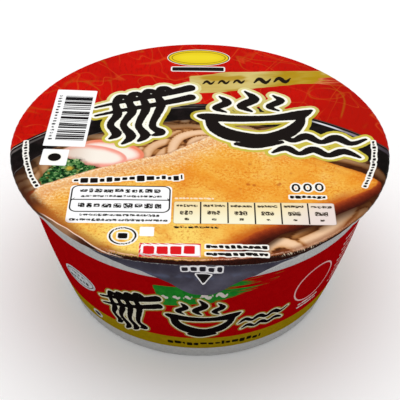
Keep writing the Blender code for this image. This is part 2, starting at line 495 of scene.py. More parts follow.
def fold_fields(ground):
    """Distances, outwards, from the lines that the fold and the tab leave in the print at the edge."""
    turn = np.degrees(np.arctan2(ground.x, -ground.y))
    out = np.hypot(ground.x, ground.y)
    crack = np.interp(turn, (-30, -20, -12, 4, 12, 20, 28, 42, 52),
                      (70.3, 69.7, 68.5, 67.9, 68.4, 69.3, 70.1, 70.4, 70.2))
    bare = np.interp(turn, (-53, -48, -45, -31, -22, -10, 3, 14, 22, 30, 42, 48, 54),
                     (71, 70.3, 70.3, 71.3, 71.1, 70, 69.7, 70.7, 71.7, 71.7, 71, 70.5, 71))
    crease = np.interp(turn, (-52, -47, -40, -34, -27, -22), (70, 69.1, 68.6, 69.1, 70.5, 70.6))
    tab_side = 71.4 + 5.4 * np.exp(np.clip((15 - turn) / 6, -9, 2))
    return {"turn": turn, "out": out, "crack": out - crack, "bare": out - bare, "crease": out - crease,
            "tab_side": out - tab_side}


def lid_fields(ground):
    top = slab_top(ground)
    table = ground.box(-8.7, 46.3, -49.3, -37.5, 0.8)
    lines = lid_lines(ground, table)
    return {
        "place": np.stack([ground.x, ground.y, 0 * ground.x], 1),
        "noodle_light": noodle_relief(ground),
        "slab_top": top,
        "slab_body": union(top, slab_side(ground)),
        "lacquer": ground.ellipse(0.8, -46.5, 85, 70, 1),
        "soup": ground.ellipse(0.8, -46.5, 73, 58.5, 1),
        "cake_back": ground.ellipse(-32.4, -8.7, 12.4, 6.9, -15),
        "cake_front": ground.ellipse(-38.4, -11.5, 12.2, 6.3, -12),
        "greens": ground.polygon([
            (-50, -15), (-44, -14.6), (-42, -18), (-38, -18.6), (-41, -21), (-50, -26), (-54, -28.5),
            (-55.5, -26), (-53, -20.5)], 1.2),
        "gold_brush": ground.polygon([
            (-3.6, 42.6), (10, 45.8), (25, 47.2), (50, 47.8), (60, 46.5), (56, 40.6), (40, 39.8), (26, 37),
            (10, 33.4), (-0.6, 31.8), (-3.2, 36.5)], 1),
        "motif": brush_drawings(ground, (-22, 16.5, 0.88), (20.5, 14.6, 0.9, 4), (42.8, -3.4, 0.92, -5)),
        "waves": wave_marks(ground.placed(19, 40.4, 0.94, 5)),
        "badge": ground.ellipse(-1, 58, 12.4, 6),
        "badge_bar": ground.box(-11.8, 9.4, 47.6, 50.6, 0.4),
        "panels": lid_panels(ground),
        "table": table,
        "ink": lid_ink(ground),
        "haloed": lid_haloed(ground),
        "lines": lines,
        "lines_near": abs(lines),
        "red": lid_red(ground),
        "pale": ground.dashes(95, -8.5, 5, -35.7, 0.9),
        "tab_marks": ground.dashes(96, -5.6, 7.9, -71.2, 1.7, (1.2, 1.25), 0.5),
        "arrow": ground.polygon([(-0.8, -73.5), (4.3, -73.5), (1.9, -78.8)], 0.3),
        **fold_fields(ground),
    }


# ---- fields of the wall


def wall_fields(ground_at):
    """Fields of the wall's print. ground_at(azimuth) gives the ground as measured from an azimuth."""
    front, back = ground_at(0), ground_at(180)
    motif, dark, pale, brush, medal = [], [], [], [], []
    for ground in (front, back):
        motif.append(brush_drawings(ground, (-26.2, 25.6, 0.6), (1.5, 27.8, 0.56), (25.5, 22, 0.5)))
        brush.append(ground.polygon([(-14.2, 44.8), (6, 46.6), (30, 49.6), (26, 45.4), (14, 42), (4, 38.6),
                                     (-6, 36.6), (-12.2, 35.6)], 1))
        pale.append(wave_marks(ground.placed(-1, 40.9, 0.62, 6)))
        dark.append(ground.dashes(97, -12.5, 27, 10.2, 2.1, (0.5, 1.3), 0.34, 0.24))
    for azimuth in (-45, 135):
        ground = ground_at(azimuth)
        medal += [ground.ellipse(0, 31, 8.2, 4.8), ground.ellipse(2.4, 11, 2.6, 2.3)]
        dark += [
            ground.rows(98, (-5.6, 5.6, 29.8, 1.5, (0.5, 0.9), 0.5), (-3.8, 3.8, 32.6, 1, (0.4, 0.8), 0.5)),
            ground.ellipse(2.4, 11, 1.2, 1),
        ]
    for azimuth, seed in ((43, 100), (-137, 110)):
        pale.append(ground_at(azimuth).rows(seed, (-4.5, 6.5, 20.8, 1), (-4.5, 6.5, 18.6, 1)))
    small_print = [(-24, 23 if row % 4 else 10, 44.5 - 2.9 * row, 0.9) for row in range(9)]
    for azimuth, seed in ((78, 120), (-98, 140)):
        pale.append(ground_at(azimuth).rows(seed, *small_print))
    return {
        "motif": union(*motif),
        "brush": union(*brush),
        "brush_along": np.where(abs(front.x) < abs(back.x), front.x, back.x),
        "pale": union(*pale),
        "dark": union(*dark),
        "medal": union(*medal),
        "ring": nearest_line(*[ground_at(azimuth).ellipse(0, 32, 9.2, 9.2) for azimuth in (43, -137)]),
    }


# ---- meshes


def blend(value, start, end):
    """1 up to start and 0 from end on, with a smooth slope between."""
    share = np.clip((value - start) / (end - start), 0, 1)
    return 1 - share * share * (3 - 2 * share)


def face_corners(rows, columns):
    """Per face corner of rings_to_mesh: its face's strip and column, and its own row and column."""
    quad, first, last = ((0, 0), (1, 0), (1, 1), (0, 1)), ((0, 0), (1, 0), (1, 1)), ((0, 0), (1, 0), (0, 1))
    parts = []
    for start, end, corners in ((0, rows - 1, quad), (-1, 0, first), (rows - 1, rows, last)):
        strip, column = np.mgrid[start:end, 0:columns]
        here = [np.stack([strip, column, strip + down, column + over]) for down, over in corners]
        parts.append(np.stack(here, -1).reshape(4, -1))
    return np.concatenate(parts, 1)


def rings_to_mesh(name, radius, azimuth, height):
    """A closed mesh from rings of points, top to bottom, with a point in the middle of either end.

    The strips' quads come first, and then the triangles round the upper and the lower point. Those
    points count as one row above the first and one row below the last.
    """
    rings = np.stack([radius * np.sin(azimuth), -radius * np.cos(azimuth), height + 0 * azimuth], 2)
    rows, columns = rings.shape[:2]
    points = np.concatenate([rings.reshape(-1, 3), [rings[0].mean(0), rings[-1].mean(0)]])
    _, _, row, column = face_corners(rows, columns)
    corner = np.where(row < 0, rows * columns, row * columns + column % columns)
    corner[row == rows] = rows * columns + 1
    quads, triangles = np.split(corner, [4 * (rows - 1) * columns])
    mesh = bpy.data.meshes.new(name)
    mesh.from_pydata(points, [], quads.reshape(-1, 4).tolist() + triangles.reshape(-1, 3).tolist())
    mesh.shade_smooth()
    mesh.set_sharp_from_angle(angle=SHARP_ANGLE)
    return mesh


def with_ends(values):
    """The values of the rings' points, followed by those of the two end points."""
    return np.concatenate([values.ravel(), [values[0].mean(), values[-1].mean()]])


def store(mesh, fields):
    """Keeps fields on the mesh's points, as vectors where they have several values a point."""
    for name, values in fields.items():
        kind, key = ("FLOAT", "value") if values.ndim == 1 else ("FLOAT_VECTOR", "vector")
        attribute = mesh.attributes.new(name, kind, "POINT")
        attribute.data.foreach_set(key, values.astype(np.float32).ravel())


def on_disc(middle, reach, azimuth, mirrored=False):
    """The (u, v) of points round the middle of a disc, which is mirrored where it shows an underside."""
    across = reach * np.sin(azimuth)
    return middle[0] + (-across if mirrored else across), middle[1] - reach * np.cos(azimuth)


def lay_map(mesh, place):
    """Keeps a map named OFBake for baking the finish on, from the u and the v of each face corner."""
    mesh.uv_layers.new(name="OFBake").uv.foreach_set("vector", place.T.astype(np.float32).ravel())


def add_object(name, data):
    added = bpy.data.objects.new(name, data)
    bpy.context.scene.collection.objects.link(added)
    return added


def add_piece(name, mesh, node, *materials):
    piece = add_object(name, mesh)
    for material in materials:
        mesh.materials.append(material)
    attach(piece, "root")
    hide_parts(node)


# ---- lid


def blank_reach(azimuth):
    """How far the flat, die-cut sheet reaches from its middle: a disc with one bell-shaped tab."""
    disc = FLAT_RADIUS + FOLD_LENGTH + SKIRT_DROP - FOLD_RADIUS
    turn = (azimuth - TAB_AZIMUTH + math.pi) % math.tau - math.pi
    aside = abs(LID_RADIUS * turn)
    bell = TAB_LENGTH / (1 + (aside / TAB_HALF_WIDTH) ** TAB_TAPER)
    return disc + bell * blend(aside, *TAB_SHOULDER)


def formed(distance, depth):
    """(radius, height) of a point of the folded sheet, depth below its upper face."""
    past_flat = np.clip(distance - FLAT_RADIUS, 0, None)
    angle = np.minimum(past_flat / FOLD_RADIUS, math.pi / 2)
    past_fold = np.clip(past_flat - FOLD_LENGTH, 0, None)
    straight = np.minimum(past_fold, TAB_STRAIGHT)
    leaning = past_fold - straight
    bend = FOLD_RADIUS - depth
    radius = np.minimum(distance, FLAT_RADIUS) + bend * np.sin(angle) - leaning * math.sin(TAB_LEAN)
    height = PACK_HEIGHT - FOLD_RADIUS + bend * np.cos(angle) - straight - leaning * math.cos(TAB_LEAN)
    return radius, height


def ripples(rng, across, along, pitch):
    """Smooth random waves between about -1 and 1, of a mean pitch."""
    total = np.zeros(np.broadcast(across, along).shape)
    for _ in range(WAVES_EACH):
        heading = rng.uniform(0, math.tau)
        wave = math.tau / (pitch * rng.uniform(0.6, 1.7))
        phase = rng.uniform(0, math.tau)
        total += np.sin(wave * (across * math.cos(heading) + along * math.sin(heading)) + phase)
    return total / math.sqrt(WAVES_EACH)


def lid_relief(azimuth, distance):
    """How far the sheet stands off its plain form, in metres along its normal."""
    rng = np.random.default_rng(5)
    turn = (azimuth + math.pi) % math.tau - math.pi
    around = LID_RADIUS * turn / MM
    out = distance / MM
    front = blend(abs(np.degrees(turn) - 3), 28, 42)
    at_fold = blend(abs(out - 69.3), 1.2, 3.2)
    crinkle = CRINKLES * front * at_fold * ripples(rng, around, out * 1.5, 2.4)
    x, y = out * np.sin(azimuth), -out * np.cos(azimuth)
    slack = SLACK * ripples(rng, x, y, 26) * blend(out, 58, 66)
    hanging = 1 - blend(out, 70.5, 73.5)
    tab = hanging * (TAB_WAVES * ripples(rng, x, y, 11) + TAB_LIFT)
    skirt = PLEAT_DEPTH * np.sin(azimuth * PLEATS) * (1 - blend(out, 68.8, 70.4)) * (1 - front)
    return (crinkle + slack + tab + skirt) * MM


def sheet_rows(azimuth):
    """Distances along the sheet: out over its printed side and back under it, and the printed rows."""
    hanging = blank_reach(azimuth) - FLAT_RADIUS
    flat = np.linspace(LID_FIRST_RING, 1, LID_FLAT_ROWS)[:, None] * FLAT_RADIUS + 0 * azimuth
    down = (np.arange(1, LID_HANGING_ROWS + 1) / LID_HANGING_ROWS)[:, None] ** LID_HANGING_SPREAD
    up = (np.arange(LID_UNDER_ROWS, -1, -1) / LID_UNDER_ROWS)[:, None] ** LID_UNDER_SPREAD
    under = np.array(LID_UNDER_RINGS)[:, None] * FLAT_RADIUS + 0 * azimuth
    distance = np.concatenate([flat, FLAT_RADIUS + down * hanging, FLAT_RADIUS + up * hanging, under])
    return distance, len(flat) + len(down)


def map_lid(mesh, distance, printed_rows):
    """The printed side is mapped as on the flat sheet, and the rest is a small disc in a corner."""
    rows, columns = distance.shape
    strip, _, row, column = face_corners(rows, columns)
    turn = column * math.tau / columns
    on_sheet = np.pad(distance, ((1, 1), (0, 0)))[row + 1, column % columns] / LID_MAP_SPAN
    inwards = LID_UNDER_DISC[2] * (rows - row) / (rows - printed_rows + 1)
    printed = on_disc(LID_MAP_MIDDLE, on_sheet, turn)
    lay_map(mesh, np.where(strip < printed_rows - 1, printed, on_disc(LID_UNDER_DISC, inwards, turn, True)))


def make_lid(print_material, paper_material):
    azimuth = np.arange(LID_COLUMNS) * math.tau / LID_COLUMNS
    distance, printed_rows = sheet_rows(azimuth)
    depth = np.where(np.arange(len(distance)) < printed_rows, 0, SHEET)[:, None]
    radius, height = formed(distance, depth - lid_relief(azimuth, distance))
    mesh = rings_to_mesh("lid_print", radius, azimuth, height)
    x, y = with_ends(distance * np.sin(azimuth) / MM), with_ends(-distance * np.cos(azimuth) / MM)
    store(mesh, lid_fields(Ground(x, y)))
    map_lid(mesh, distance, printed_rows)
    add_piece("lid_print", mesh, "lid", print_material, paper_material)
    paper = np.ones(len(mesh.polygons), np.int32)
    paper[:(printed_rows - 1) * LID_COLUMNS] = 0
    paper[-2 * LID_COLUMNS:-LID_COLUMNS] = 0
    mesh.polygons.foreach_set("material_index", paper)


# ---- bowl


def wall_radius(height):
    share = height / WALL_REACH
    straight = BASE_RADIUS + (WALL_TOP_RADIUS - BASE_RADIUS) * share
    return straight + WALL_BULGE * 4 * share * (1 - share)


def arc(centre, radius, start, end, steps):
    """Points from one angle to another, in degrees, where 0 points outwards and 90 points up."""
    angles = np.radians(np.linspace(start, end, steps + 1))
    return [(centre[0] + radius * math.cos(angle), centre[1] + radius * math.sin(angle)) for angle in angles]


def bowl_profile():
    """The outline from the middle of the top to that of the underside, and the side's end rows."""
    rim_middle, rim_bottom = RIM_RADIUS - RIM_ROUNDING, RIM_TOP - RIM_THICKNESS
    wall_top = rim_bottom - RIM_FILLET
    foot_middle = wall_radius(FOOT_ROUNDING) - FOOT_ROUNDING
    top = [(BOWL_FIRST_RING, RIM_TOP), (BOWL_TOP_RING, RIM_TOP)]
    heights = np.linspace(wall_top, FOOT_ROUNDING, WALL_ROWS + 2)[1:-1]
    side = (
        arc((rim_middle, RIM_TOP - RIM_ROUNDING), RIM_ROUNDING, 90, 0, 6)
        + arc((rim_middle, rim_bottom + RIM_ROUNDING), RIM_ROUNDING, 0, -90, 6)
        + arc((wall_radius(wall_top) + RIM_FILLET, wall_top), RIM_FILLET, 90, 180, 4)
        + [(wall_radius(height), height) for height in heights]
        + arc((foot_middle, FOOT_ROUNDING), FOOT_ROUNDING, 0, -90, 6)
    )
    recess_corner = (FOOT_INNER_RADIUS - RECESS_SLOPE - RECESS_EDGE, RECESS_HEIGHT - RECESS_EDGE)
    panel_top = RECESS_HEIGHT + PANEL_STEP
    under = (
        arc((FOOT_INNER_RADIUS + FOOT_EDGE, FOOT_EDGE), FOOT_EDGE, -90, -180, 3)
        + arc(recess_corner, RECESS_EDGE, 0, 90, 3)
        + [(PANEL_RADIUS + PANEL_EDGE, RECESS_HEIGHT), (PANEL_RADIUS - PANEL_STEP, panel_top)]
    )
    for radius in RING_RADII:
        under += [(radius + RING_HALF_WIDTH, panel_top), (radius, panel_top - RING_DEPTH),
                  (radius - RING_HALF_WIDTH, panel_top)]
    profile = np.array(top + side + under + [(BOWL_FIRST_RING, panel_top)])
    return profile, len(top), len(top + side) - 1


def map_bowl(mesh, profile, rim_row, foot_row):
    """The side is mapped as two strips, half a turn each, and the top and the underside as discs."""
    ends = profile[[0, -1]] * (0, 1)
    path = np.vstack([ends[:1], profile, ends[1:]])
    along = np.append(0, np.cumsum(np.hypot(*np.diff(path, axis=0).T)))
    rim, foot, end = along[rim_row + 1], along[foot_row + 1], along[-1]
    strip, start, row, column = face_corners(len(profile), BOWL_COLUMNS)
    here = along[row + 1]
    turn = column * math.tau / BOWL_COLUMNS
    half = start // (BOWL_COLUMNS // 2)
    up_strip = STRIP_HEIGHT * (foot - here) / (foot - rim)
    on_side = column / (BOWL_COLUMNS // 2) - half, STRIP_PITCH * half + up_strip
    on_top = on_disc(BOWL_TOP_DISC, BOWL_TOP_DISC[2] * here / rim, turn)
    inwards = BOWL_UNDER_DISC[2] * (end - here) / (end - foot)
    on_ends = np.where(strip < rim_row, on_top, on_disc(BOWL_UNDER_DISC, inwards, turn, True))
    lay_map(mesh, np.where((strip >= rim_row) & (strip < foot_row), on_side, on_ends))


def make_bowl(material):
    azimuth = np.arange(BOWL_COLUMNS) * math.tau / BOWL_COLUMNS
    profile, rim_row, foot_row = bowl_profile()
    radius, height = profile[:, :1], profile[:, 1:]
    mesh = rings_to_mesh("bowl_print", radius, azimuth, height)
    turns, heights = with_ends(azimuth + 0 * radius), with_ends(height + 0 * azimuth) / MM

    def ground_at(middle):
        turn = (turns - math.radians(middle) + math.pi) % math.tau - math.pi
        return Ground(turn * PRINT_RADIUS, heights)

    store(mesh, wall_fields(ground_at))
    map_bowl(mesh, profile, rim_row, foot_row)
    add_piece("bowl_print", mesh, "bowl", material)


# ---- material nodes


def linear(level):
    share = level / 255
    return share / 12.92 if share <= 0.04045 else ((share + 0.055) / 1.055) ** 2.4


def paint(colour):
    """A colour given as three screen levels from 0 to 255. One of four values stays as it is."""
    if len(colour) == 4:
        return colour
    return tuple(linear(level) * INK_SHARE for level in colour) + (1,)


def sum_as_node(operation):
    """A sum of a wire, with another or a number, that adds a node for it."""
    return lambda wire, *others: wire.graph.math(operation, wire, *others)


class Wire:
    """A value in a material's nodes, so that its sums read as sums."""

    def __init__(self, graph, socket):
        self.graph = graph
        self.socket = socket

    __add__ = __radd__ = sum_as_node("ADD")
    __sub__ = sum_as_node("SUBTRACT")
    __mul__ = __rmul__ = sum_as_node("MULTIPLY")
    __truediv__ = sum_as_node("DIVIDE")
    __abs__ = sum_as_node("ABSOLUTE")


class Graph:
    """A new material and the nodes that are added to it, with its place and x, y and z in millimetres.

    A value may be a number, a colour, a wire, or the name of one of the mesh's fields.
    """

    def __init__(self, name, specular, place=None):
        self.material = bpy.data.materials.new(name)
        self.material.use_nodes = True
        self.tree = self.material.node_tree
        self.shader = self.tree.nodes["Principled BSDF"]
        self.shader.inputs["Specular IOR Level"].default_value = specular
        self.kept = {}
        self.place = self.field(place, "Vector") if place else self.object_place()
        self.x, self.y, self.z = self.parts(self.place)

    def feed(self, socket, value):
        if isinstance(value, str):
            value = self.field(value)
        if isinstance(value, Wire):
            self.tree.links.new(value.socket, socket)
        else:
            socket.default_value = paint(value) if socket.type == "RGBA" else value

    def shade(self, **inputs):
        """Feeds the shader's inputs, whose names have _ for a space, and gives the material."""
        for name, value in inputs.items():
            self.feed(self.shader.inputs[name.replace("_", " ")], value)
        return self.material

    def node(self, kind, inputs, output=0, **settings):
        """An output of a new node, which is fed by its inputs' names or numbers."""
        made = self.tree.nodes.new(kind)
        column, row = divmod(len(self.tree.nodes), 12)
        made.location = (-300 - 180 * column, 900 - 170 * row)
        for name, value in settings.items():
            setattr(made, name, value)
        for name, value in inputs.items():
            self.feed(made.inputs[name], value)
        return Wire(self, made.outputs[output])

    def math(self, operation, *values):
        return self.node("ShaderNodeMath", dict(enumerate(values)), operation=operation)

    def field(self, name, output="Fac"):
        if name not in self.kept:
            self.kept[name] = self.node("ShaderNodeAttribute", {}, attribute_name=name).socket.node
        return Wire(self, self.kept[name].outputs[output])

    def parts(self, vector):
        outputs = self.node("ShaderNodeSeparateXYZ", {0: vector}).socket.node.outputs
        return [Wire(self, output) for output in outputs]

    def object_place(self):
        coordinates = self.node("ShaderNodeTexCoord", {}, "Object")
        return self.node("ShaderNodeVectorMath", {0: coordinates, "Scale": 1 / MM}, operation="SCALE")

    def mapped(self, scale=(1, 1, 1), turn=0, middle=(0, 0, 0), at=None):
        """The place as seen from middle along axes turned by turn, and then scaled."""
        inputs = {"Vector": at or self.place, "Location": middle, "Rotation": (0, 0, math.radians(turn)),
                  "Scale": [1 / share for share in scale]}
        return self.node("ShaderNodeMapping", inputs, vector_type="TEXTURE")

    def distance(self, point):
        return self.node("ShaderNodeVectorMath", {0: self.place, 1: point}, "Value", operation="DISTANCE")

    def noise(self, scale, detail=2, roughness=0.5, distortion=0, at=None):
        inputs = {"Vector": at or self.place, "Scale": scale, "Detail": detail, "Roughness": roughness,
                  "Distortion": distortion}
        return self.node("ShaderNodeTexNoise", inputs, "Fac")

    def wander(self, reach, *shape):
        """Noise about 0, whose values keep within half the reach."""
        return (self.noise(*shape) - 0.5) * reach

    def cells(self, scale, output="Distance"):
        return self.node("ShaderNodeTexVoronoi", {"Vector": self.place, "Scale": scale}, output)

    def slope(self, value, start, end, low=0, high=1):
        """A smooth climb from low at start to high at end."""
        inputs = dict(enumerate((value, start, end, low, high)))
        return self.node("ShaderNodeMapRange", inputs, interpolation_type="SMOOTHSTEP")

    def inside(self, field, edge=0, soft=0.08):
        """1 where a field is below edge, and 0 beyond."""
        return self.slope(field, edge - soft, edge + soft, 1, 0)

    def band(self, value, middle, half, soft=0.08):
        return self.inside(abs(value - middle), half, soft)

    def ramp(self, value, stops):
        """The colour between stops, which are colours by their positions."""
        result = self.node("ShaderNodeValToRGB", {0: value})
        elements = result.socket.node.color_ramp.elements
        while len(elements) < len(stops):
            elements.new(0.5)
        for element, (position, colour) in zip(elements, stops.items()):
            element.position = position
            element.color = paint(colour)
        return result

    def mix(self, share, under, over):
        return self.node("ShaderNodeMix", {0: share, 6: under, 7: over}, 2, data_type="RGBA")

    def bump(self, height, strength, distance):
        inputs = {"Height": height, "Strength": strength, "Distance": distance}
        return self.node("ShaderNodeBump", inputs)


class Coat:
    """A colour that is built up from tints, each laid over the last through a mask."""

    def __init__(self, graph, colour):
        self.graph = graph
        self.colour = colour

    def lay(self, mask, tint):
        self.colour = self.graph.mix(mask, self.colour, tint)

    def lay_shape(self, field, *layers):
        """Lays a shape's (edge, softness, tint) layers, each inside the last."""
        for edge, soft, tint in layers:
            self.lay(self.graph.inside(field, edge, soft), tint)


# ---- pictured food on the lid


def noodle_colour(g):
    """Noodles in dark broth, dim towards the left and beside the tofu."""
    light = g.field("noodle_light") + g.wander(0.1, 0.9, 3)
    coat = Coat(g, g.ramp(light, {0: (46, 20, 8), 0.24: (112, 62, 26), 0.5: (176, 118, 66),
                                  0.72: (218, 168, 122), 0.95: (244, 204, 166)}))
    coat.lay(g.slope(g.x, -48, -60, 0, 0.5), (112, 84, 58))
    coat.lay(g.slope("soup", -7, -0.5, 0, 0.7), (40, 22, 12))
    coat.lay(g.slope(g.x, -57, -62, 0, 0.6), (34, 18, 6))
    beside = g.field("slab_body")
    coat.lay(g.slope(beside, 0, 1.2, 0.4, 0), (128, 66, 22))
    reach = g.slope(g.x, 30, 50, 3.2, 6.5)
    coat.lay(g.slope(g.x - g.y, 40, 70) * g.slope(beside, 0.4, reach, 0.88, 0), (58, 24, 8))
    return coat.colour


def slab_colour(g):
    """Golden fried tofu with a pitted skin, pale along its far edge and browned along its near one."""
    rim = g.field("slab_top")
    patches = g.noise(0.055, 3, 0.6)
    coat = Coat(g, g.ramp(patches, {0.3: (231, 136, 34), 0.44: (240, 157, 46), 0.56: (244, 174, 64),
                                    0.72: (246, 192, 98)}))
    behind = g.slope(g.x - g.y, 52, 22) * g.slope(g.y, -45, -35)
    coat.lay(behind * g.slope(rim, -11, -2, 0, 0.72), (244, 198, 140))
    glow = g.slope(g.distance((-18, -58, 0)), 8, 43, 0.95, 0)
    coat.lay(glow * g.slope(patches, 0.28, 0.56, 0.15, 1), (253, 220, 112))
    coat.lay(g.slope(g.x, -38, -50) * g.slope(g.y, -37, -45) * 0.75, (190, 98, 22))
    skin = g.noise(1, 4, 0.75)
    uneven = g.slope(g.noise(0.12, 3), 0.38, 0.62)
    grainy = behind * g.slope(rim, -17, -3)
    bright = g.mix(grainy, (255, 218, 112), (255, 238, 200))
    coat.lay(g.slope(skin, 0.5, 0.62) * (0.12 + 0.26 * uneven + 0.42 * grainy), bright)
    coat.lay(g.slope(skin, 0.49, 0.38) * (0.22 + 0.42 * uneven), (208, 92, 4))
    spots = g.inside(g.cells(0.17), 0.12, 0.06) * g.slope(g.noise(0.09), 0.5, 0.6)
    coat.lay(spots * 0.6, (176, 66, 8))
    browned = g.slope("slab_body", -1.5, -4.5) * g.slope(rim, -5.5, 0.2, 0, 0.85)
    coat.lay(browned * g.slope(g.x, 49, 55, 1, 0.3), (190, 82, 18))
    coat.lay(g.slope(g.x - g.y, 30, 50) * g.slope(rim, -2.4, 0.2, 0, 0.5), (196, 96, 26))
    ragged = behind * g.slope(g.y, -35, -31) * g.slope(rim, -1.8, 0) * g.slope(skin, 0.42, 0.55)
    coat.lay(ragged * 0.75, (255, 238, 210))
    return coat.colour


def crust_colour(g):
    """The browned side of the tofu, which darkens downwards."""
    depth = g.field("slab_top") * 0.16 + g.noise(0.6, 4, 0.65) * 0.35
    return g.ramp(depth + g.slope(g.x, 55, 62, 0, 0.13), {
        0.1: (206, 108, 34), 0.26: (172, 72, 26), 0.46: (134, 48, 20), 0.68: (100, 31, 13), 1: (58, 18, 9)})


def lacquer_colour(g):
    """Black lacquer of the pictured bowl, with a gloss that runs along its lip."""
    depth = g.field("lacquer") * -1
    sheen = g.slope(g.noise(0.2, 3), 0.4, 0.8, 0, 0.6)
    coat = Coat(g, g.mix(sheen, (13, 9, 8), (40, 30, 30)))
    left = g.slope(g.x, 10, -10) * g.slope(g.noise(0.1, 2), 0.38, 0.58, 0.35, 1)
    coat.lay(left * g.band(depth, 0.85, 0.14, 0.14), (214, 190, 182))
    coat.lay(left * g.band(depth, 2.5, 0.45, 0.35) * 0.85, (112, 104, 102))
    coat.lay(left * g.band(depth, 11.4, 0.1, 0.2) * 0.5, (150, 146, 142))
    right = g.slope(g.x, 40, 46)
    gloss = g.ramp(g.slope(g.x, 40, 70), {
        0: (236, 236, 242), 0.3: (222, 222, 230), 0.45: (150, 140, 150), 0.75: (128, 116, 128),
        1: (60, 52, 60)})
    width = g.slope(g.x, 52, 60, 0.42, 0.75)
    coat.lay(right * g.inside(abs(depth - 2.1) / width, 1, 0.5), gloss)
    coat.lay(right * g.band(depth, 0.35, 0.1, 0.12) * 0.5, (180, 120, 110))
    return coat.colour


def lay_cake(g, coat, name, rind, shade, pink):
    """A slice of steamed fish cake: white, with a pink rind that many millimetres deep."""
    field = g.field(name)
    depth = g.slope(field + g.wander(0.8, 0.3, 2), -rind, 0.3)
    cake = Coat(g, g.ramp(depth, {0: (251, 242, 230), 0.22: (251, 230, 218), 0.5: (250, 196, 180),
                                  0.78: pink, 1: pink}))
    cake.lay(g.slope(g.x, -37, -48, 0, 0.6), (214, 184, 166))
    coat.lay(g.slope(field, 1.4, 0, 0, shade), (130, 66, 26))
    coat.lay(g.inside(field, 0, 0.3), cake.colour)


def lay_greens(g, coat):
    """A heap of chopped spring onion."""
    bits, _, tints = g.parts(g.cells(1, "Color"))
    leaf = g.noise(0.9, 4, 0.85, at=g.mapped((1, 0.8, 1), turn=20))
    green = Coat(g, g.ramp(leaf * 0.75 + bits * 0.35, {
        0.34: (2, 22, 8), 0.44: (12, 56, 22), 0.55: (40, 94, 42), 0.65: (84, 134, 70),
        0.76: (176, 200, 140)}))
    green.lay(g.slope(tints, 0.93, 0.97) * g.slope(leaf, 0.46, 0.54) * 0.5, (190, 160, 70))
    stem = g.slope(g.distance((-46.6, -19.2, 0)) + (leaf - 0.5) * 4, 0.6, 2, 0.85, 0)
    green.lay(stem * g.slope(leaf, 0.36, 0.5), (216, 180, 58))
    ragged = g.field("greens") + g.wander(4, 0.45, 4, 0.6)
    coat.lay(g.slope(ragged, 1.8, 0.2, 0, 0.35), (60, 40, 14))
    coat.lay(g.inside(ragged, 0, 0.2), green.colour)


def lay_picture(g, coat):
    """The served noodles on the lid: a lacquered bowl, noodles, fish cake, greens and fried tofu."""
    coat.lay(g.inside("lacquer", 0, 0.1), lacquer_colour(g))
    coat.lay(g.inside(g.field("soup") + g.wander(4, 0.14, 2), 0, 0.5), noodle_colour(g))
    lay_cake(g, coat, "cake_back", 4.8, 0.4, (242, 136, 104))
    lay_cake(g, coat, "cake_front", 3.8, 0, (247, 160, 144))
    lay_greens(g, coat)
    coat.lay(g.inside("slab_body", 0, 0.25), crust_colour(g))
    coat.lay(g.inside(g.field("slab_top") + g.wander(1.2, 0.5), 0, 0.4), slab_colour(g))


# ---- print of the lid


def washi_red(g):
    """Red handmade-paper ground with long golden fibres."""
    coat = Coat(g, g.ramp(g.noise(0.05, 4, 0.6), {0.35: (188, 10, 0), 0.65: (208, 14, 2)}))
    grain = g.noise(0.8, 3, 0.6, at=g.mapped((1, 0.3, 1)))
    coat.lay(g.slope(grain, 0.5, 0.68, 0, 0.6), (166, 8, 0))
    coat.lay(g.slope(g.x, 15, 70, 0, 0.75), (168, 16, 2))
    for scale, turn, width, strength, tint in (
        (0.022, 24, 0.0024, 0.6, (172, 92, 10)),
        (0.03, -52, 0.0029, 0.55, (216, 76, 20)),
        (0.036, 70, 0.0032, 0.5, (186, 84, 14)),
        (0.044, -16, 0.0037, 0.5, (196, 70, 16)),
        (0.07, 40, 0.0048, 0.42, (222, 92, 34)),
    ):
        moved = g.mapped((1, 0.5, 1), turn, (3 * turn, turn, 0))
        line = g.inside(abs(g.noise(scale, 1.5, 0.5, 0.2, moved) - 0.5), width, width)
        coat.lay(line * g.slope(g.noise(0.07, 1, at=moved), 0.39, 0.55) * strength, tint)
    return coat.colour


def lay_gold_brush(g, coat):
    """A broad stroke of gold paint, which runs dry towards the right."""
    sheen = g.noise(1, 2, at=g.mapped((0.05, 0.14, 1), turn=10))
    gold = Coat(g, g.ramp(g.slope(g.x, -5, 55), {
        0.1: (206, 182, 100), 0.36: (214, 194, 120), 0.62: (192, 166, 70), 0.72: (176, 142, 28),
        0.84: (190, 162, 60), 0.95: (182, 146, 26)}))
    gold.lay(g.slope(sheen, 0.5, 0.62, 0, 0.85), (176, 138, 12))
    gold.lay(g.slope(sheen, 0.46, 0.34, 0, 0.6), (218, 204, 140))
    hairs = g.noise(1, 3, 0.6, at=g.mapped((0.05, 1.5, 1), turn=4))
    gold.lay(g.slope(hairs, 0.5, 0.7, 0, 0.35), (166, 132, 36))
    dry = g.slope(g.x - g.y * 0.4, 17, 36, -0.5, 0.13)
    tip = g.slope(g.x - g.y * 0.5, 24, 38, 0, 0.1)
    wet = hairs - dry - tip + g.slope(g.y, 43.5, 45.5, 0, 0.35)
    ragged = g.field("gold_brush") + (hairs - 0.5) * 2
    coat.lay(g.inside(ragged, 0.6, 0.4) * g.band(wet, 0.38, 0.05, 0.04) * 0.55, (240, 170, 110))
    coat.lay(g.inside(ragged, 0, 0.15) * g.slope(wet, 0.4, 0.46), gold.colour)


